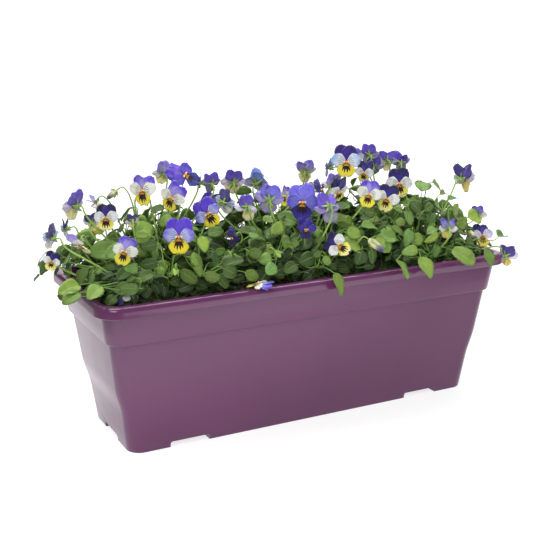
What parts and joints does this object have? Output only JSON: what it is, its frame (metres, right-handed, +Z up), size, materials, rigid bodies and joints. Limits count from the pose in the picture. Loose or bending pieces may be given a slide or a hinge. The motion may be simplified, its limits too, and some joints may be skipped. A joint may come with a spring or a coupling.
{
  "type": "planted window box",
  "caption": "Long plastic window box with a turned-down rim and drain channels, planted with violas in flower.",
  "frame": {"origin": "centre of the trough's underside, on the plane that it stands on", "axes": "+X along the trough's length, towards its right end as seen from the front; -Y out of the front; +Z up"},
  "size_m": [0.573, 0.2292, 0.3001],
  "materials": {
    "plastic": "injection-moulded plum polypropylene, glossy",
    "soil": null,
    "foliage": null,
    "petals_cream": null,
    "petals_blue": null,
    "petals_violet": null
  },
  "bodies": {
    "root": {"window_box": "plastic", "soil": "soil", "bloom_01": "petals_cream", "bloom_02": "petals_cream", "bloom_03": "petals_blue", "bloom_04": "petals_blue", "bloom_05": "petals_cream", "bloom_06": "petals_violet", "bloom_07": "petals_cream", "bloom_08": "petals_cream", "bloom_09": "petals_cream", "bloom_10": "petals_cream", "bloom_11": "petals_blue", "bloom_12": "petals_cream", "bloom_13": "petals_cream", "bloom_14": "petals_violet", "bloom_15": "petals_blue", "bloom_16": "petals_blue", "bloom_17": "petals_blue", "bloom_18": "petals_violet", "bloom_19": "petals_blue", "bloom_20": "petals_violet", "bloom_21": "petals_violet", "bloom_22": "petals_violet", "bloom_23": "petals_violet", "bloom_24": "petals_violet", "bloom_25": "petals_blue", "bloom_26": "petals_cream", "bloom_27": "petals_violet", "bloom_28": "petals_violet", "bloom_29": "petals_cream", "bloom_30": "petals_cream", "bloom_31": "petals_blue", "bloom_32": "petals_violet", "bloom_33": "petals_blue", "bloom_34": "petals_cream", "bloom_35": "petals_violet", "bloom_36": "petals_cream", "bloom_37": "petals_cream", "bloom_38": "petals_cream", "bloom_39": "petals_cream", "bloom_40": "petals_violet", "bloom_41": "petals_violet", "bloom_42": "petals_cream", "bloom_43": "petals_blue", "bloom_44": "petals_blue", "bloom_45": "petals_cream", "bloom_46": "petals_blue", "bloom_47": "petals_blue", "bloom_48": "petals_blue", "bloom_49": "petals_cream", "bloom_50": "petals_violet", "bloom_51": "petals_cream", "fallen_bloom_1": "petals_blue", "viola_plant_1": "foliage", "viola_plant_2": "foliage", "viola_plant_3": "foliage", "viola_plant_4": "foliage", "viola_plant_5": "foliage", "viola_plant_6": "foliage"}
  },
  "joints": []
}
